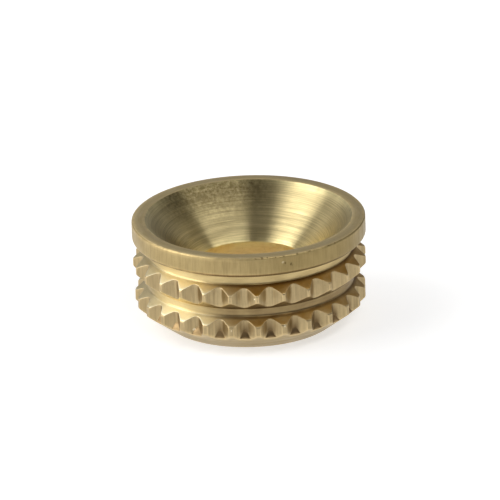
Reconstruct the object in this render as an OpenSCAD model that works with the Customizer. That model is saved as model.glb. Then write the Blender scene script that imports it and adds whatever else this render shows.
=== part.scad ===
// Screw cup socket: a turned brass seat for a countersunk wood screw.
// A flat lip surrounds a 90 degree countersunk mouth that leads to a plain
// through hole. Outside, a smooth rim band stands over two knurled rings parted
// by grooves; one pass of the knurl cut both rings, so their flutes line up.
// Millimetres. The origin is the centre of the base; the mouth faces +Z.

/* [Overall] */
// Outside diameter of the plain rim band
rim_d = 12.7; // [12:0.1:14]
// Height from the base to the flat lip
total_h = 5.8; // [5.6:0.1:7]
// Diameter of the flat base under the foot
base_d = 9.3; // [8:0.1:10.5]

/* [Mouth and hole] */
// Width of the flat lip around the mouth
lip_w = 0.72; // [0.5:0.02:0.9]
// Included angle of the countersunk mouth
mouth_angle = 90; // [82:1:100]
// Diameter of the through hole
hole_d = 6; // [5:0.1:6.4]

/* [Rim band] */
// Height of the plain band below the lip
band_h = 1.15; // [0.9:0.05:1.3]
// Bevel on the band's upper edge
band_bevel = 0.07; // [0.04:0.01:0.2]
// Radius on the band's lower edge
band_edge_r = 0.2; // [0.1:0.05:0.3]

/* [Knurled rings] */
// How far the upper ring's crest stands inside the rim band
upper_crest_inset = 0.01; // [0.01:0.01:0.3]
// How far the lower ring's crest stands inside the rim band
lower_crest_inset = 0.08; // [0.01:0.01:0.3]
// Height of the coned foot below the lower ring's crest
foot_h = 1.22; // [1.1:0.02:1.3]
// Height of the lower ring's crest
lower_crest_h = 0.56; // [0.4:0.02:0.6]
// Distance from the lower ring's crest up to the upper ring's crest
ring_gap = 1.39; // [1.3:0.01:1.44]
// Height of the upper ring's crest
upper_crest_h = 0.42; // [0.3:0.02:0.5]
// Slope of the shoulder on top of each ring, from the horizontal
shoulder_slope = 30; // [20:1:32]
// Slope of the upper ring's underside, from the horizontal
underside_slope = 38; // [30:1:40]

/* [Grooves] */
// Depth of both grooves below the rim band
groove_depth = 0.75; // [0.65:0.05:0.85]
// Fillet at the foot of the upper groove
upper_fillet_r = 0.15; // [0.1:0.05:0.25]
// Fillet at the foot of the lower groove
lower_fillet_r = 0.25; // [0.15:0.05:0.25]

/* [Flutes] */
// Number of flutes around the rings
flute_count = 27; // [24:1:30]
// Included angle of a flute
flute_angle = 96; // [86:1:100]
// Radius at the bottom of a flute
flute_root_r = 0.35; // [0.2:0.05:0.45]
// Width left on the upper ring's crest between two flutes
crest_land = 0.14; // [0.08:0.02:0.2]
// Height at which a flute starts to run out, at its root
runout_z = 1.46; // [1.3:0.02:1.5]
// Slope of the run-out, from the vertical
runout_slope = 16; // [12:1:25]

/* [Hidden] */
$fn = 96;
clear = 1; // how far a cutter reaches past the faces it opens
arc_steps = 8; // straight steps in a small turned radius

rim_r = rim_d / 2;
base_r = base_d / 2;
hole_r = hole_d / 2;
mouth_r = rim_r - lip_w;
mouth_depth = (mouth_r - hole_r) / tan(mouth_angle / 2);
band_z = total_h - band_h;
upper_r = rim_r - upper_crest_inset;
lower_r = rim_r - lower_crest_inset;
groove_r = rim_r - groove_depth;

lower_top_z = foot_h + lower_crest_h;
upper_low_z = lower_top_z + ring_gap;
upper_top_z = upper_low_z + upper_crest_h;

// Flute section: two flanks that meet at flute_apex, rounded at the root.
half_angle = flute_angle / 2;
crest_half_turn = 180 / flute_count - asin(crest_land / 2 / upper_r);
flute_apex = upper_r * (cos(crest_half_turn) - sin(crest_half_turn) / tan(half_angle));
flute_centre = flute_apex + flute_root_r / sin(half_angle);
root_r = flute_centre - flute_root_r;
flute_top_z = (shoulder_z(upper_r, upper_top_z, root_r) + band_z) / 2;

// Height of a ring's shoulder at radius r, for a crest that tops out at z.
function shoulder_z(crest_r, z, r) = z + (crest_r - r) * tan(shoulder_slope);

// Points along an arc, from one angle to another.
function arc(centre, r, from, to) = [
    for (i = [0 : arc_steps])
        let(a = from + (to - from) * i / arc_steps) centre + r * [cos(a), sin(a)]
];

// The fillet between a groove floor and the shoulder below it, from the shoulder.
function fillet(crest_r, top_z, fillet_r) = let(
    r = groove_r + fillet_r,
    z = shoulder_z(crest_r, top_z, r) + fillet_r / cos(shoulder_slope)
) arc([r, z], fillet_r, 270 - shoulder_slope, 180);

// Everything turned on the outside, before the knurl.
module turned_blank() {
    rotate_extrude()
        polygon(concat(
            [[0, 0], [base_r, 0], [lower_r, foot_h], [lower_r, lower_top_z]],
            fillet(lower_r, lower_top_z, lower_fillet_r),
            [[groove_r, upper_low_z - (upper_r - groove_r) * tan(underside_slope)]],
            [[upper_r, upper_low_z], [upper_r, upper_top_z]],
            fillet(upper_r, upper_top_z, upper_fillet_r),
            [[groove_r, band_z]],
            arc([rim_r - band_edge_r, band_z + band_edge_r], band_edge_r, 270, 360),
            [[rim_r, total_h - band_bevel], [rim_r - band_bevel, total_h], [0, total_h]]
        ));
}

// One flute, upright, centred on -Y.
module flute() {
    flank = [sin(half_angle), cos(half_angle)];
    touch = flute_root_r * [cos(half_angle), -sin(half_angle)];
    far = touch + (rim_r - root_r + clear) * flank;
    rotate([0, 0, 180])
        translate([0, flute_centre])
            linear_extrude(flute_top_z) {
                circle(flute_root_r, $fn = 48);
                polygon([
                    [-touch[0], touch[1]],
                    [touch[0], touch[1]],
                    [far[0], far[1]],
                    [-far[0], far[1]]
                ]);
            }
}

// The core that the flutes run out on, above the foot.
module runout_core() {
    spread = tan(runout_slope);
    rotate_extrude()
        polygon([
            [0, -clear],
            [root_r + (runout_z + clear) * spread, -clear],
            [hole_r, runout_z + (root_r - hole_r) / spread],
            [0, runout_z + (root_r - hole_r) / spread]
        ]);
}

module knurl() {
    difference() {
        for (i = [0 : flute_count - 1]) rotate([0, 0, i * 360 / flute_count]) flute();
        runout_core();
    }
}

// The screw's way through: countersunk mouth and plain hole.
module screw_way() {
    translate([0, 0, -clear]) cylinder(h = total_h + 2 * clear, r = hole_r);
    translate([0, 0, total_h - mouth_depth])
        cylinder(
            h = mouth_depth + clear,
            r1 = hole_r,
            r2 = mouth_r + clear * tan(mouth_angle / 2)
        );
}

module screw_cup() {
    color([0.64, 0.5, 0.25])
        difference() {
            turned_blank();
            knurl();
            screw_way();
        }
}

screw_cup();
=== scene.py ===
import math

import bmesh
import bpy
from mathutils import Matrix, Vector


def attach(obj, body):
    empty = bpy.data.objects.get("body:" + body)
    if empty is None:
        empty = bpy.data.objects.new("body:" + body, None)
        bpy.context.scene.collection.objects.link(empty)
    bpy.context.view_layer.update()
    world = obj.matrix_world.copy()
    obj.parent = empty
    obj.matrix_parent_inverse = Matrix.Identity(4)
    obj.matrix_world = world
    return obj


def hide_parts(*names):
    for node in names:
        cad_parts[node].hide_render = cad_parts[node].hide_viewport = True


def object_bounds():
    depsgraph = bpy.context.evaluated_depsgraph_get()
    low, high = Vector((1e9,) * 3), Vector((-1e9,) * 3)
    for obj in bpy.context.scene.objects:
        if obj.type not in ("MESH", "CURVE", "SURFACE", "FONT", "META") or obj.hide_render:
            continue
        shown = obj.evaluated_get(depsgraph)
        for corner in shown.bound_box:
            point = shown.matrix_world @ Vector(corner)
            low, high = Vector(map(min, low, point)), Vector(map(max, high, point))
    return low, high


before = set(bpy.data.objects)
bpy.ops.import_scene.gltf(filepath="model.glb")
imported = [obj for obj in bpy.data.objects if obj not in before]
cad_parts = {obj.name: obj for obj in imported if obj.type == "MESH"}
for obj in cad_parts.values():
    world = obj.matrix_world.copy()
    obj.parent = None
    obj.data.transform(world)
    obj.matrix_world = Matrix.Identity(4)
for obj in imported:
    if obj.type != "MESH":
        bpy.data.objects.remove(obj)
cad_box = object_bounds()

MM = 0.001                              # sizes are in millimetres, and Blender's in metres
HAIR = 0.01                             # less than this is no difference
WELD = 0.001                            # points nearer than this become one
cad_high = cad_box[1] / MM

# ---------------------------------------------------------------- the cup's sizes
RIM_R = round(cad_high.x, 2)            # plain rim band
HEIGHT = round(cad_high.z, 2)
MOUTH_R = RIM_R - 0.72                  # inner edge of the flat lip
HOLE_R = 3.0
HOLE_TOP = HEIGHT - (MOUTH_R - HOLE_R)  # where the 90 degree mouth meets the hole
LIP_EASE = 0.07                         # chamfer on the lip's outer edge
BAND_LOW = HEIGHT - 1.15
BAND_EASE = 0.2                         # chamfer on the band's lower edge
BAND_ROUNDS = 0.06, 0.12                # radii on that chamfer's inner and outer corners

UPPER_R = RIM_R - 0.01                  # crests of the two knurled rings
LOWER_R = RIM_R - 0.08
GROOVE_R = RIM_R - 0.75
BASE_R = 4.65
FOOT_TOP = 1.22                         # the heights where each crest begins and ends
LOWER_TOP = 1.78
UPPER_LOW = 3.17
UPPER_TOP = 3.59
SHOULDER = math.radians(30)             # slopes over and under the crests, from level
UNDERSIDE = math.radians(38)
LOW_FILLET = 0.2                        # where each shoulder runs into its groove
HIGH_FILLET = 0.16
LAND_ROUND = 0.15                       # on the corners of a crest
CUT_ROUND = 0.04                        # on the edges that a flute leaves
UNDER_SHARE = 0.6                       # of either, under the upper ring
EDGE_EASE = 0.025                       # on every other sharp edge
EASE_FROM = math.radians(28)            # edges that turn more than this are sharp
SHARPEST = math.radians(20)             # eased edges that turn this much are rubbed and painted brightest
SMOOTH_TO = math.radians(30)            # edges that turn less than this look smooth

FLUTES = 27
PITCH = 360 / FLUTES                    # degrees
FLUTE_HALF = math.radians(48)           # between a flank and the middle of its flute
FLUTE_APEX = 5.7049                     # how far out the two flanks would meet
FLUTE_ROOT = 0.35                       # radius of the rounding that joins them
ROOT_CENTRE = FLUTE_APEX + FLUTE_ROOT / math.sin(FLUTE_HALF)
FLUTE_FLOOR = ROOT_CENTRE - FLUTE_ROOT
RUNOUT = math.tan(math.radians(16))     # how far a flute runs out for each millimetre down
RUNOUT_Z = 1.46                         # the height at which it begins to
FOOT_SLOPE = FOOT_TOP / (LOWER_R - BASE_R)
RUNOUT_R = BASE_R + (RUNOUT_Z + (FLUTE_FLOOR - BASE_R) / RUNOUT) / (FOOT_SLOPE + 1 / RUNOUT)

# Degrees from the middle of a flute at which its sides are drawn.
FLANK_TURNS = [0.6, 1.2, 1.8, 2.3, 3.1, 4.0, 4.8]


# ---------------------------------------------------------------- the profile
def foot_z(r):
    return FOOT_SLOPE * (r - BASE_R)


def runout_z(r):
    return RUNOUT_Z - (r - FLUTE_FLOOR) / RUNOUT


def shoulder_z(crest, top, r):
    return top + math.tan(SHOULDER) * (crest - r)


def underside_z(r):
    return UPPER_LOW - math.tan(UNDERSIDE) * (UPPER_R - r)


def line(a, b, steps):
    """Points from a to b, without a itself."""
    return [(a[0] + (b[0] - a[0]) * i / steps, a[1] + (b[1] - a[1]) * i / steps)
            for i in range(1, steps + 1)]


def arc(cr, cz, r, start, end, steps):
    """Points round a centre, from one angle to another."""
    turns = [start + (end - start) * i / steps for i in range(steps + 1)]
    return [(cr + r * math.cos(t), cz + r * math.sin(t)) for t in turns]


def shoulder(crest, top, reach, fillet):
    """The top of a ring from where its metal ends in to the groove, and up the groove's fillet."""
    inner = GROOVE_R + fillet * (1 - math.sin(SHOULDER))
    inner_z = shoulder_z(crest, top, inner)
    slope = line((reach, shoulder_z(crest, top, reach)), (inner, inner_z), 3)
    centre_z = inner_z + fillet * math.cos(SHOULDER)
    return slope + arc(GROOVE_R + fillet, centre_z, fillet, 1.5 * math.pi - SHOULDER, math.pi, 5)[1:]


def eased(a, corner, b, radius):
    """Four points round a corner between two straight lines, from a's side to b's."""
    (ax, az), (cx, cz), (bx, bz) = a, corner, b
    la, lb = math.hypot(ax - cx, az - cz), math.hypot(bx - cx, bz - cz)
    ua, ub = ((ax - cx) / la, (az - cz) / la), ((bx - cx) / lb, (bz - cz) / lb)
    half = math.acos(ua[0] * ub[0] + ua[1] * ub[1]) / 2
    cut = min(radius / math.tan(half), la * 0.48, lb * 0.48)    # the rest of each line stays
    radius = cut * math.tan(half)
    mx, mz = ua[0] + ub[0], ua[1] + ub[1]
    away = radius / math.sin(half) / math.hypot(mx, mz)
    ox, oz = cx + mx * away, cz + mz * away
    start = math.atan2(cz + ua[1] * cut - oz, cx + ua[0] * cut - ox)
    end = math.atan2(cz + ub[1] * cut - oz, cx + ub[0] * cut - ox)
    return arc(ox, oz, radius, start, start + math.remainder(end - start, 2 * math.pi), 3)


def section(reach):
    """The closed half section through the cup where the knurl leaves metal out to reach. Every
    section has the same number of points, so that neighbours can be bridged."""
    upper, lower = min(reach, UPPER_R), min(reach, LOWER_R)
    low_shoulder = shoulder(LOWER_R, LOWER_TOP, lower, LOW_FILLET)
    high_shoulder = shoulder(UPPER_R, UPPER_TOP, upper, HIGH_FILLET)
    low_round = LAND_ROUND if lower > LOWER_R - HAIR else CUT_ROUND
    high_round = LAND_ROUND if upper > UPPER_R - HAIR else CUT_ROUND
    foot_end = wall_low = (lower, foot_z(lower))
    if lower < RUNOUT_R:
        foot_end, wall_low = (RUNOUT_R, foot_z(RUNOUT_R)), (lower, runout_z(lower))
    low_top = (lower, shoulder_z(LOWER_R, LOWER_TOP, lower))
    groove_top = (GROOVE_R, underside_z(GROOVE_R))
    high_low = (upper, underside_z(upper))
    high_top = (upper, shoulder_z(UPPER_R, UPPER_TOP, upper))
    band_in = (GROOVE_R, BAND_LOW)
    band_under = (RIM_R - BAND_EASE, BAND_LOW)
    band_side = (RIM_R, BAND_LOW + BAND_EASE)
    path = [(HOLE_R, 0)]

    def go(place, steps):
        path.extend(line(path[-1], place, steps))

    def go_round(a, corner, b, radius, steps):
        bend = eased(a, corner, b, radius)
        go(bend[0], steps)
        path.extend(bend[1:])

    go((BASE_R, 0), 2)
    go(foot_end, 3)
    go(wall_low, 3)
    go_round(wall_low, low_top, low_shoulder[0], low_round, 4)
    path.extend(low_shoulder)
    go(groove_top, 2)
    go_round(groove_top, high_low, high_top, high_round * UNDER_SHARE, 3)
    go_round(high_low, high_top, high_shoulder[0], high_round, 3)
    path.extend(high_shoulder)
    go(band_in, 4)
    go_round(band_in, band_under, band_side, BAND_ROUNDS[0], 3)
    go_round(band_under, band_side, (RIM_R, HEIGHT), BAND_ROUNDS[1], 2)
    go((RIM_R, HEIGHT - LIP_EASE), 3)
    go((RIM_R - LIP_EASE, HEIGHT), 1)
    go((MOUTH_R, HEIGHT), 2)
    go((HOLE_R, HOLE_TOP), 5)
    go((HOLE_R, 0), 3)
    return path[:-1]                    # the last point is the first one again


# ---------------------------------------------------------------- modelling, as at the bench
def deselect():
    bpy.ops.object.select_all(action="DESELECT")


def pick(piece):
    """Selects one piece alone and makes it the active one."""
    deselect()
    piece.select_set(True)
    bpy.context.view_layer.objects.active = piece


def edit_all():
    """Goes into edit mode with the whole of the active piece selected."""
    bpy.ops.object.mode_set(mode="EDIT")
    bpy.ops.mesh.select_all(action="SELECT")


def edit_points(piece, wanted):
    """Selects, in edit mode, the points that have these numbers."""
    bpy.ops.mesh.select_all(action="DESELECT")
    bpy.ops.object.mode_set(mode="OBJECT")
    for number in wanted:
        piece.data.vertices[number].select = True
    bpy.ops.object.mode_set(mode="EDIT")


def join(pieces):
    """Joins pieces into the first of them."""
    pick(pieces[0])
    for piece in pieces[1:]:
        piece.select_set(True)
    bpy.ops.object.join()
    return pieces[0]


def settle(piece):
    """Puts a piece's place, turn and size into its mesh."""
    pick(piece)
    bpy.ops.object.transform_apply(location=True, rotation=True, scale=True)


def draw_section(points, turn):
    """Draws a closed half section, turned by so many degrees, one extrude at a time."""
    deselect()
    across, along = math.cos(math.radians(turn)), math.sin(math.radians(turn))
    bpy.ops.mesh.primitive_plane_add(size=1)
    piece = bpy.context.object
    edit_all()
    bpy.ops.mesh.merge(type="CENTER")
    r, z = points[0]
    bpy.ops.transform.translate(value=(r * across, r * along, z))
    for a, b in zip(points, points[1:]):
        out = b[0] - a[0]
        bpy.ops.mesh.extrude_region_move(
            TRANSFORM_OT_translate={"value": (out * across, out * along, b[1] - a[1])})
    edit_points(piece, (0, len(points) - 1))
    bpy.ops.mesh.edge_face_add()
    bpy.ops.object.mode_set(mode="OBJECT")
    return piece


def flute_reach(turn):
    """How far out the metal reaches, so many degrees from the middle of a flute."""
    a = math.radians(abs(turn))
    reach = FLUTE_APEX / (math.cos(a) - math.sin(a) / math.tan(FLUTE_HALF))
    if reach * math.sin(a) < FLUTE_ROOT * math.cos(FLUTE_HALF):
        reach = ROOT_CENTRE * math.cos(a) - math.sqrt(FLUTE_ROOT ** 2 - (ROOT_CENTRE * math.sin(a)) ** 2)
    return min(reach, UPPER_R)


def land_edge(crest):
    """Degrees from the middle of a flute to where its flank reaches a crest."""
    return math.degrees(FLUTE_HALF - math.asin(FLUTE_APEX / crest * math.sin(FLUTE_HALF)))


def draw_pitch():
    """One flute with half a tooth on each side: sections side by side, bridged."""
    half = [*FLANK_TURNS, land_edge(LOWER_R), land_edge(UPPER_R), PITCH / 2]
    turns = [-t for t in reversed(half)] + [0] + half
    pitch = join([draw_section(section(flute_reach(t)), t - 90) for t in turns])
    edit_all()
    bpy.ops.mesh.bridge_edge_loops(type="SINGLE")
    bpy.ops.object.mode_set(mode="OBJECT")
    return pitch


def ring_of(pitch):
    """Copies a pitch round the axis and welds the copies into one piece."""
    copies = [pitch]
    for i in range(1, FLUTES):
        pick(pitch)
        bpy.ops.object.duplicate()
        copy = bpy.context.object
        copy.rotation_euler.z = math.radians(i * PITCH)
        settle(copy)
        copies.append(copy)
    join(copies)
    edit_all()
    bpy.ops.mesh.remove_doubles(threshold=WELD)
    bpy.ops.mesh.normals_make_consistent(inside=False)
    bpy.ops.object.mode_set(mode="OBJECT")
    return pitch


def ease_edges(piece):
    """Breaks every sharp edge by a small width."""
    pick(piece)
    ease = piece.modifiers.new("ease", "BEVEL")
    ease.width = EDGE_EASE
    ease.segments = 2
    ease.limit_method = "ANGLE"
    ease.angle_limit = EASE_FROM
    ease.use_clamp_overlap = True
    bpy.ops.object.modifier_apply(modifier=ease.name)


def mark_edges(piece):
    """Notes at every point how sharply the surface turns out there, for the rubbed edges and
    the highlight painted on them.
    """
    seen = bmesh.new()
    seen.from_mesh(piece.data)
    turns = [max(edge.calc_face_angle_signed(0) for edge in point.link_edges) for point in seen.verts]
    seen.free()
    note = piece.data.attributes.new("edge", "FLOAT", "POINT")
    note.data.foreach_set("value", [min(1, max(0, turn) / SHARPEST) for turn in turns])


def to_metres(piece):
    piece.scale = (MM, MM, MM)
    settle(piece)
    bpy.ops.object.shade_smooth_by_angle(angle=SMOOTH_TO)


# ---------------------------------------------------------------- nodes
class Nodes:
    """Adds nodes to one tree and links them, a line for each node."""

    def __init__(self, tree):
        self.tree = tree

    def add(self, kind, *inputs, out=0, **settings):
        """A new node with its first inputs fed; returns one output, or the node if out is None."""
        node = self.tree.nodes.new("ShaderNode" + kind)
        for key, value in settings.items():
            setattr(node, key, value)
        for i, value in enumerate(inputs):
            self.feed(node.inputs[i], value)
        return node if out is None else node.outputs[out]

    def feed(self, socket, value):
        """Links another node's output to a socket, or sets a plain value on it."""
        if isinstance(value, bpy.types.NodeSocket):
            self.tree.links.new(value, socket)
        else:
            socket.default_value = value

    def math(self, operation, *inputs):
        return self.add("Math", *inputs, operation=operation)

    def times(self, a, b):
        return self.math("MULTIPLY", a, b)

    def spread(self, value, low, high, to_low=0.0, to_high=1.0):
        """Maps low..high of a value to to_low..to_high, held at both ends."""
        return self.add("MapRange", value, low, high, to_low, to_high)

    def noise(self, place, scale, detail=2.0, roughness=0.5):
        node = self.add("TexNoise", out=None)
        for name, value in (("Vector", place), ("Scale", scale), ("Detail", detail),
                            ("Roughness", roughness)):
            self.feed(node.inputs[name], value)
        return node.outputs["Fac"]

    def mix(self, share, a, b):
        """A colour that share of the way from a to b."""
        node = self.add("Mix", share, out=None, data_type="RGBA")
        self.feed(node.inputs[6], a)    # of its sockets, 6 and 7 take colours
        self.feed(node.inputs[7], b)
        return node.outputs[2]

    def place(self, group, **values):
        """Places a shared group with its own values; returns its outputs."""
        node = self.tree.nodes.new("ShaderNodeGroup")
        node.node_tree = group
        for name, value in values.items():
            self.feed(node.inputs[name], value)
        return node.outputs

    def on_the_cup(self):
        """The place on the cup, in millimetres."""
        return self.add("VectorMath", self.add("TexCoord", out="Object"), (1 / MM,) * 3,
                        operation="MULTIPLY")

    def round_the_axis(self, place):
        """A place as its turn, written as a point on a unit circle, its radius and its height."""
        x, y, height = self.add("SeparateXYZ", place, out=None).outputs
        radius = self.math("SQRT", self.math("ADD", self.times(x, x), self.times(y, y)))
        return self.math("DIVIDE", x, radius), self.math("DIVIDE", y, radius), radius, height

    def facing(self, x, y, degrees):
        """How far the turn x, y faces the turn that is given: 1 is straight at it."""
        turn = self.times(degrees, math.pi / 180)
        return self.math("ADD", self.times(x, self.math("COSINE", turn)),
                         self.times(y, self.math("SINE", turn)))


def shared_group(name, inputs, outputs):
    """A node group with its sockets: the group, its nodes, what it is given and what it gives."""
    tree = bpy.data.node_groups.new(name, "ShaderNodeTree")
    for socket, value in inputs.items():
        made = tree.interface.new_socket(name=socket, in_out="INPUT", socket_type="NodeSocketFloat")
        made.default_value = value
    for socket in outputs:
        tree.interface.new_socket(name=socket, in_out="OUTPUT", socket_type="NodeSocketFloat")
    given = tree.nodes.new("NodeGroupInput").outputs
    result = tree.nodes.new("NodeGroupOutput").inputs
    return tree, Nodes(tree), given, result


# ---------------------------------------------------------------- marks that the finishes share
def make_turning_marks():
    """Fine rings that a lathe tool leaves, broken up along their length."""
    group, n, given, result = shared_group(
        "turning_marks", {"Lines": 4.0, "Breaks": 6.0}, ["Height", "Tone"])
    x, y, radius, height = n.round_the_axis(n.on_the_cup())
    across = n.times(n.math("ADD", radius, height), given["Lines"])
    along = n.add("CombineXYZ", n.times(x, given["Breaks"]), n.times(y, given["Breaks"]), across)
    fine = n.noise(along, 1.0, 3.0, 0.6)
    broad = n.noise(along, 0.35, 1.0)
    both = n.math("ADD", n.times(fine, 0.7), n.times(broad, 0.3))
    n.feed(result["Height"], fine)
    n.feed(result["Tone"], n.spread(both, 0.4, 0.6))
    return group


def make_drawn_grain():
    """Upright scratches from the knurl and from drawing, side by side round the cup."""
    group, n, given, result = shared_group(
        "drawn_grain", {"Lines": 60.0, "Length": 1.5}, ["Height", "Tone"])
    x, y, _, height = n.round_the_axis(n.on_the_cup())
    along = n.add("CombineXYZ", n.times(x, given["Lines"]), n.times(y, given["Lines"]),
                  n.math("DIVIDE", height, given["Length"]))
    fine = n.noise(along, 1.0, 3.0, 0.6)
    n.feed(result["Height"], fine)
    n.feed(result["Tone"], n.spread(fine, 0.35, 0.65))
    return group


def make_mottle():
    """Handling and dulling: broad soft patches and small specks."""
    group, n, given, result = shared_group(
        "mottle", {"Size": 1.5, "Speck Size": 0.12}, ["Patches", "Specks"])
    place = n.on_the_cup()
    broad = n.noise(place, n.math("DIVIDE", 1.0, given["Size"]), 3.0, 0.55)
    small = n.noise(place, n.math("DIVIDE", 1.0, given["Speck Size"]))
    n.feed(result["Patches"], n.spread(broad, 0.35, 0.68))
    n.feed(result["Specks"], n.spread(small, 0.62, 0.78))
    return group


def make_edge_wear_and_highlight():
    """Rubbed edges, painted lighter as a highlight too: where the surface turns out sharply,
    broken up a little.
    """
    group, n, given, result = shared_group("edge_wear_and_highlight", {"Start": 0.25, "Full": 0.9}, ["Worn"])
    sharp = n.add("Attribute", out="Fac", attribute_name="edge")
    rubbed = n.spread(n.noise(n.on_the_cup(), 2.5), 0.3, 0.6, 0.35, 1.0)
    n.feed(result["Worn"], n.times(n.spread(sharp, given["Start"], given["Full"]), rubbed))
    return group


def make_stain():
    """A rough, darkened patch in the mouth, on the side that Turn faces, worst next to the lip."""
    group, n, given, result = shared_group(
        "mark_tint", {"Turn": 123.0, "Inner": 4.2, "Outer": 5.3}, ["Amount"])
    place = n.on_the_cup()
    x, y, radius, _ = n.round_the_axis(place)
    side = n.spread(n.facing(x, y, given["Turn"]), 0.72, 0.9)
    reach = n.times(side, n.spread(radius, given["Inner"], given["Outer"]))
    rough = n.spread(n.noise(place, 5.0, 4.0, 0.7), 0.36, 0.6, 0.35, 1.0)
    n.feed(result["Amount"], n.times(reach, rough))
    return group


def make_painted_shade():
    """Painted shade: darkening that fades away from one height of the cup, in to a radius, on
    the side that Turn faces. From and To say how near to straight at that side it begins and is full."""
    group, n, given, result = shared_group(
        "painted_shade", {"Height": 4.65, "Spread": 0.25, "Turn": -50.0, "Reach": 9.0, "From": 0.2, "To": 0.6},
        ["Amount"])
    place = n.on_the_cup()
    x, y, radius, height = n.round_the_axis(place)
    away = n.math("ABSOLUTE", n.math("SUBTRACT", height, given["Height"]))
    near = n.spread(n.math("DIVIDE", away, given["Spread"]), 0.0, 1.0, 1.0, 0.0)
    inside = n.spread(n.math("SUBTRACT", radius, given["Reach"]), -0.1, 0.05, 1.0, 0.0)
    side = n.spread(n.facing(x, y, given["Turn"]), given["From"], given["To"])
    patchy = n.spread(n.noise(place, 1.2, 3.0), 0.3, 0.65, 0.82, 1.0)
    n.feed(result["Amount"], n.times(n.times(n.times(inside, near), side), patchy))
    return group


def make_nick_and_glint():
    """A small ragged mark round one point, in millimetres; it gives the dark nicks, the painted glints
    and the painted highlights on burrs.
    """
    group, n, given, result = shared_group(
        "nick_and_glint", {"X": 0.0, "Y": 0.0, "Z": 0.0, "Size": 0.1}, ["Amount"])
    place = n.on_the_cup()
    middle = n.add("CombineXYZ", given["X"], given["Y"], given["Z"])
    off = n.add("VectorMath", place, middle, operation="DISTANCE", out="Value")
    ragged = n.times(off, n.spread(n.noise(place, 9.0), 0.3, 0.7, 0.6, 1.6))
    n.feed(result["Amount"], n.spread(n.math("DIVIDE", ragged, given["Size"]), 0.5, 1.0, 1.0, 0.0))
    return group


MARKS = {"turning_marks": make_turning_marks(), "drawn_grain": make_drawn_grain(),
         "mottle": make_mottle(), "edge_wear_and_highlight": make_edge_wear_and_highlight(), "mark_tint": make_stain(),
         "painted_shade": make_painted_shade(), "nick_and_glint": make_nick_and_glint()}


# ---------------------------------------------------------------- the finishes
STREAK_SHADE = 0.62                     # the tone of the tool's streaks, as a share of the brass's
SPECK_SHADE = 0.4                       # the same for the small specks, and how far they show
SPECK_SHARE = 0.25
RUBBED_AND_LIT_SHADE = 1.5                      # and for the rubbed edges, painted lighter as a highlight too
RUBBED_AND_LIT_SHARE = 0.8
PATCH_ROUGHER = 0.06                    # how much rougher the dull patches are


def shade(tone, share=1.0):
    """A tone made that much darker or lighter, as a colour for a socket."""
    return tuple(min(1, c * share) for c in tone) + (1,)


def brass(name, tone, dull, roughness, tool, depth, streaks=0.25, patches=0.3, swirl=0.0,
          uneven=0.08, marks_and_painted_light=()):
    """One finish of the same brass.

    tone and dull are its colour and the colour of its dull patches, with painted light and shade
    in them. tool is the mark that its tool left, with that mark's values, depth how deep it is in
    millimetres, and streaks how far it shows in the colour. uneven is how much the roughness
    varies with it. swirl stretches the gloss round the axis. Each entry in the list of marks is a
    mark, its share, its colour, how much rougher it makes the brass, and the mark's values; among
    them are real marks, painted shade and painted highlights.
    """
    mat = bpy.data.materials.new(name)
    mat.use_nodes = True
    n = Nodes(mat.node_tree)
    shader = n.tree.nodes["Principled BSDF"]
    tool_kind, tool_values = tool
    tooled = n.place(MARKS[tool_kind], **tool_values)
    mottle = n.place(MARKS["mottle"])
    worn_and_lit = n.place(MARKS["edge_wear_and_highlight"])["Worn"]
    color = n.mix(n.times(mottle["Patches"], patches), shade(tone), shade(dull))
    color = n.mix(n.times(tooled["Tone"], streaks), color, shade(tone, STREAK_SHADE))
    color = n.mix(n.times(mottle["Specks"], SPECK_SHARE), color, shade(tone, SPECK_SHADE))
    color = n.mix(n.times(worn_and_lit, RUBBED_AND_LIT_SHARE), color, shade(tone, RUBBED_AND_LIT_SHADE))
    rough = n.math("ADD", n.spread(tooled["Tone"], 0, 1, roughness - uneven, roughness + uneven),
                   n.times(mottle["Patches"], PATCH_ROUGHER))
    for mark, share, mark_tint, rougher, values in marks_and_painted_light:
        amount = n.place(MARKS[mark], **values)["Amount"]
        color = n.mix(n.times(amount, share), color, shade(mark_tint))
        rough = n.math("ADD", rough, n.times(amount, rougher))
    n.feed(shader.inputs["Base Color"], color)
    n.feed(shader.inputs["Roughness"], rough)
    shader.inputs["Metallic"].default_value = 1.0
    if swirl:
        shader.inputs["Anisotropic"].default_value = swirl
        shader.inputs["Anisotropic Rotation"].default_value = 0.25      # a quarter turn
        n.feed(shader.inputs["Tangent"], n.add("Tangent", direction_type="RADIAL", axis="Z"))
    relief = n.add("Bump", out=None)
    relief.inputs["Strength"].default_value = 1.0
    relief.inputs["Distance"].default_value = depth * MM
    n.feed(relief.inputs["Height"], tooled["Height"])
    n.feed(shader.inputs["Normal"], relief.outputs["Normal"])
    return mat


def turned(lines, breaks):
    """Lathe rings: how many to a millimetre, and how often they break off round the cup."""
    return "turning_marks", {"Lines": lines, "Breaks": breaks}


def drawn(lines, length):
    """Upright scratches: how close they stand round the cup, and their length in millimetres."""
    return "drawn_grain", {"Lines": lines, "Length": length}


def painted_dark(share, color, rougher=0.0, **where):
    """Painted shade of one colour, laid where that mark's values say."""
    return "painted_shade", share, color, rougher, where


def small_marks(share, color, rougher, places):
    """Small marks of one kind, each given by its x, y, z and size in millimetres."""
    return [("nick_and_glint", share, color, rougher, {"X": x, "Y": y, "Z": z, "Size": size})
            for x, y, z, size in places]


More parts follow.
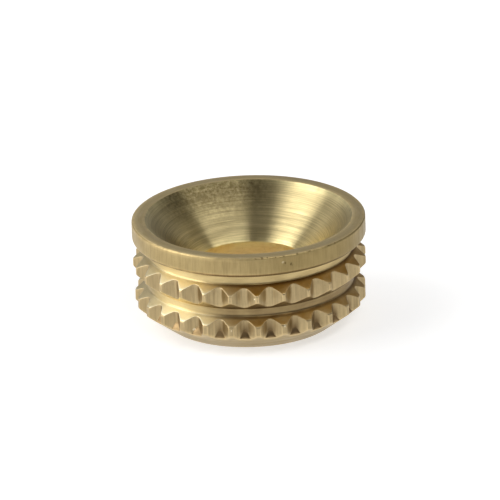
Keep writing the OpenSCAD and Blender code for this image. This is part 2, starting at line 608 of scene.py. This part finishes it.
# Along the lip's front and on the band: two painted glints on dents, then the dark nicks.
NICKS_AND_GLINTS = small_marks(0.65, (0.7, 0.6, 0.38), 0.2, [
    (-0.12, -6.22, 5.8, 0.1), (2.18, -5.97, 5.44, 0.1),
]) + small_marks(0.65, (0.17, 0.12, 0.05), 0.2, [
    (1.07, -6.25, 5.8, 0.13), (1.35, -6.2, 5.8, 0.1), (0.7, -6.3, 5.79, 0.08),
    (1.8, -6.08, 5.8, 0.09), (2.95, -5.61, 5.8, 0.1), (3.6, -5.22, 5.79, 0.08),
    (4.92, -4.0, 5.79, 0.1), (4.6, -4.36, 5.8, 0.07), (2.2, -5.96, 5.79, 0.09),
    (2.3, -5.92, 5.38, 0.1), (2.59, -5.79, 5.26, 0.09),
])

# Painted highlights: bright specks where small burrs on the rings and the run-outs catch the light.
BURR_HIGHLIGHTS = small_marks(0.9, (0.95, 0.85, 0.6), -0.05, [
    (-2.4, -4.98, 1.0, 0.16), (-2.75, -5.1, 1.3, 0.12), (-3.6, -4.2, 1.1, 0.18),
    (-3.1, -5.45, 1.35, 0.12), (-4.1, -4.7, 1.4, 0.14), (0.62, -6.2, 3.4, 0.1),
    (-3.95, -4.9, 1.7, 0.1), (-0.72, -6.18, 1.6, 0.08), (2.15, -5.85, 1.72, 0.08),
])

# Nearly black painted shade, for the flutes' roots and the run-outs.
DARK_PAINTED_SHADE = (0.1, 0.055, 0.02)
# Painted shade: the grooves and shoulders darker at the far left end, where the left glow stops.
LEFT_END_PAINTED_SHADE = painted_dark(0.75, (0.3, 0.23, 0.11), Height=3.0, Spread=20.0, Turn=-180.0,
                     From=0.76, To=0.93)

# One brass throughout; the tones differ partly as painted light and shade: the ring shoulders,
# the grooves and the hole painted lighter, the lip, band, flutes, run-outs and foot darker.
FINISHES = {
    "countersunk_mouth": dict(
        tone=(0.7, 0.58, 0.3), dull=(0.57, 0.46, 0.22), roughness=0.33, tool=turned(20.0, 2.0),
        depth=0.004, streaks=0.8, patches=0.2, swirl=1.0, uneven=0.04,
        marks_and_painted_light=[("mark_tint", 0.85, (0.24, 0.185, 0.08), 0.1,
                 {"Turn": 117.0, "Inner": 3.8, "Outer": 5.3})]),
    "faced_lip": dict(
        tone=(0.58, 0.46, 0.235), dull=(0.45, 0.34, 0.16), roughness=0.42, tool=turned(6.0, 5.0),
        depth=0.003, marks_and_painted_light=NICKS_AND_GLINTS),
    "drilled_hole": dict(
        tone=(0.8, 0.62, 0.31), dull=(0.66, 0.5, 0.24), roughness=0.45, tool=turned(6.0, 5.0),
        depth=0.004),
    "rim_band": dict(
        tone=(0.46, 0.35, 0.165), dull=(0.37, 0.265, 0.11), roughness=0.42, tool=drawn(60.0, 1.2),
        depth=0.004, streaks=0.35,
        # Painted shade: a dark line under the band's lower edge, and the band darker towards its right.
        marks_and_painted_light=[painted_dark(0.8, (0.16, 0.075, 0.03), 0.1, Height=BAND_LOW, Spread=0.27),
                painted_dark(0.75, (0.27, 0.2, 0.08), Height=5.2, Spread=6.0, Turn=-14.0), *NICKS_AND_GLINTS]),
    "turned_grooves": dict(
        tone=(0.79, 0.62, 0.3), dull=(0.7, 0.53, 0.24), roughness=0.4, tool=turned(5.0, 4.0),
        depth=0.002,
        # Painted shade: the grooves darker on the front and right, most in the lower groove.
        marks_and_painted_light=[painted_dark(1.0, (0.26, 0.18, 0.085), Height=2.2, Spread=3.4), LEFT_END_PAINTED_SHADE]),
    "ring_shoulders": dict(
        tone=(0.98, 0.86, 0.54), dull=(0.9, 0.76, 0.45), roughness=0.5, tool=turned(5.0, 4.0),
        depth=0.002,
        # Painted shade: the shoulders browner towards the front and right, nearly black in the crease by
        # the groove.
        marks_and_painted_light=[painted_dark(1.0, (0.33, 0.18, 0.03), Height=3.2, Spread=20.0, Turn=-36.0),
                painted_dark(0.8, (0.07, 0.035, 0.01), Height=3.2, Spread=9.0, Turn=-46.0, Reach=5.78),
                LEFT_END_PAINTED_SHADE]),
    "cut_flutes": dict(
        tone=(0.47, 0.36, 0.19), dull=(0.37, 0.27, 0.14), roughness=0.36, tool=drawn(70.0, 1.6),
        depth=0.004, streaks=0.45,
        # Painted shade: the flutes' roots darkened nearly to black low on the front, above the run-outs.
        marks_and_painted_light=[painted_dark(0.9, DARK_PAINTED_SHADE, Height=1.4, Spread=0.75, Turn=-45.0, Reach=5.93), *BURR_HIGHLIGHTS]),
    "run_outs": dict(
        tone=(0.42, 0.29, 0.14), dull=(0.34, 0.22, 0.1), roughness=0.28, tool=turned(4.0, 20.0),
        depth=0.0005, streaks=0.3,
        # Painted shade: the run-outs darkened on the front and right.
        marks_and_painted_light=[painted_dark(0.6, DARK_PAINTED_SHADE, 0.1, Height=1.4, Spread=2.0, Turn=-45.0), *BURR_HIGHLIGHTS]),
    "foot": dict(
        tone=(0.5, 0.39, 0.205), dull=(0.41, 0.305, 0.14), roughness=0.4, tool=turned(5.0, 5.0),
        depth=0.003),
}


def finish_of(place, normal):
    """Which finish a face has, by where it lies on the cup and which way it faces: its normal's
    z is 1 where it looks straight up."""
    r, z = math.hypot(place.x, place.y), place.z
    outward = (normal.x * place.x + normal.y * place.y) / r
    on_the_rings = z > FOOT_TOP + 0.5
    if r < HOLE_R + HAIR and z < HOLE_TOP:
        return "drilled_hole"
    if z > HOLE_TOP - HAIR and outward < 0.2 and r < MOUTH_R:
        return "countersunk_mouth"
    if z > HEIGHT - 2 * HAIR:
        return "faced_lip"
    if z > BAND_LOW - HAIR and r > RIM_R - BAND_EASE:
        return "rim_band"
    if z < FOOT_TOP and normal.z < -0.4:
        return "foot"
    if z < RUNOUT_Z + 0.05 and normal.z > 0.15:
        return "run_outs"
    if on_the_rings and normal.z > 0.6:
        return "ring_shoulders"
    if on_the_rings and (r < GROOVE_R + 0.12 or normal.z < -0.6):
        return "turned_grooves"
    return "cut_flutes"


def dress(piece):
    """Gives every face of the cup its finish."""
    piece.data.materials.clear()
    for name, look in FINISHES.items():
        piece.data.materials.append(brass(name, **look))
    names = list(FINISHES)
    for face in piece.data.polygons:
        face.material_index = names.index(finish_of(face.center / MM, face.normal))


# ---------------------------------------------------------------- camera, lights, floor
VIEW_AZIMUTH = math.radians(3.7)        # from the front, which is -Y, to the right
VIEW_ELEVATION = math.radians(21.2)
VIEW_ROLL = math.radians(1.9)           # clockwise
VIEW_DISTANCE = 0.7                     # this and the next ones are in metres
PIXEL = 1 / 18430                       # what one pixel covers at the cup
LAMP_DISTANCE = 0.5
FLOOR_WIDE = 0.6
FRAME_PIXELS = 500
AIM_RIGHT, AIM_DOWN = 1.7, 33.7         # pixels from the middle of the lip to the frame's middle
SENSOR = 36
FLOOR_GREY = (0.62, 0.62, 0.62, 1)
FLOOR_GLOW = 0.6                        # for the camera and the gloss alone
WHITE = (1, 1, 1, 1)
ROOM_LIGHT, ROOM_DARK = 0.3, 0.02
DARK_SIDE = (0.643, -0.766, 0)          # the way to the dark part of the room


def toward(azimuth, elevation):
    """The way out from the cup. The azimuth runs clockwise, seen from above, from the back."""
    return Vector((math.sin(azimuth) * math.cos(elevation), math.cos(azimuth) * math.cos(elevation),
                   math.sin(elevation)))


def add_camera():
    back = toward(math.pi - VIEW_AZIMUTH, VIEW_ELEVATION)
    level = Vector((math.cos(VIEW_AZIMUTH), math.sin(VIEW_AZIMUTH), 0))
    upright = back.cross(level)
    right = level * math.cos(VIEW_ROLL) - upright * math.sin(VIEW_ROLL)
    up = upright * math.cos(VIEW_ROLL) + level * math.sin(VIEW_ROLL)
    data = bpy.data.cameras.new("camera")
    data.sensor_width = SENSOR
    data.lens = SENSOR * VIEW_DISTANCE / (FRAME_PIXELS * PIXEL)
    data.clip_start, data.clip_end = 0.01, 10
    cam = bpy.data.objects.new("camera", data)
    bpy.context.scene.collection.objects.link(cam)
    aim = Vector((0, 0, HEIGHT * MM)) + right * (AIM_RIGHT * PIXEL) - up * (AIM_DOWN * PIXEL)
    cam.matrix_world = Matrix((
        (right.x, up.x, back.x, 0), (right.y, up.y, back.y, 0),
        (right.z, up.z, back.z, 0), (0, 0, 0, 1)))
    cam.location = aim + back * VIEW_DISTANCE
    bpy.context.scene.camera = cam


def add_softbox(name, azimuth, elevation, wide, high, glow):
    """A soft lamp, placed by where the cup sees it. Its azimuth runs clockwise from straight
    behind the cup as the camera looks, and its width and height are in degrees too. A glow of 1
    is as bright as white paper."""
    way = toward(math.radians(azimuth) - VIEW_AZIMUTH, math.radians(elevation))
    data = bpy.data.lights.new(name, "AREA")
    data.shape = "RECTANGLE"
    data.size = 2 * LAMP_DISTANCE * math.tan(math.radians(wide / 2))
    data.size_y = 2 * LAMP_DISTANCE * math.tan(math.radians(high / 2))
    data.energy = glow * math.pi * data.size * data.size_y
    lamp = bpy.data.objects.new(name, data)
    lamp.location = way * LAMP_DISTANCE
    lamp.rotation_mode = "QUATERNION"
    lamp.rotation_quaternion = way.to_track_quat("Z", "Y")
    bpy.context.scene.collection.objects.link(lamp)


def add_floor():
    """A pale floor that the camera and the gloss see as nearly white."""
    deselect()
    bpy.ops.mesh.primitive_plane_add(size=FLOOR_WIDE)
    floor = bpy.context.object
    floor.name = "floor"
    floor.location.z = -HAIR * MM       # a hair below the base, which lies at 0
    mat = bpy.data.materials.new("floor_white")
    mat.use_nodes = True
    n = Nodes(mat.node_tree)
    shader = n.tree.nodes["Principled BSDF"]
    shader.inputs["Base Color"].default_value = FLOOR_GREY
    shader.inputs["Roughness"].default_value = 0.8
    shader.inputs["Emission Color"].default_value = WHITE
    ray = n.add("LightPath", out=None).outputs
    seen = n.math("MAXIMUM", ray["Is Camera Ray"],
                  n.math("MAXIMUM", ray["Is Glossy Ray"], ray["Is Transmission Ray"]))
    n.feed(shader.inputs["Emission Strength"], n.times(seen, FLOOR_GLOW))
    floor.data.materials.append(mat)


def add_room():
    """A room that is dark ahead and to the right of the cup and light elsewhere."""
    world = bpy.data.worlds.new("room")
    bpy.context.scene.world = world
    world.use_nodes = True
    n = Nodes(world.node_tree)
    background = n.tree.nodes["Background"]
    background.inputs["Color"].default_value = WHITE
    dark = n.add("VectorMath", n.add("TexCoord", out="Generated"), DARK_SIDE,
                 operation="DOT_PRODUCT", out="Value")
    n.feed(background.inputs["Strength"], n.spread(dark, 0.25, 0.6, ROOM_LIGHT, ROOM_DARK))


# ---------------------------------------------------------------- make it
cup = ring_of(draw_pitch())
cup.name = cup.data.name = "screw_cup_turned"
ease_edges(cup)
mark_edges(cup)
to_metres(cup)
dress(cup)
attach(cup, "root")
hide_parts("screw_cup")

add_camera()
add_floor()
add_softbox("left_tall", 259.5, 28, 49, 56, 2.5)
add_softbox("right_high", 131, 55, 64, 14, 4.0)
add_softbox("high_left", 292, 54, 36, 22, 1.05)
add_softbox("back_left", 332, 33, 44, 20, 0.65)
add_room()
bpy.context.scene.view_settings.view_transform = "Standard"
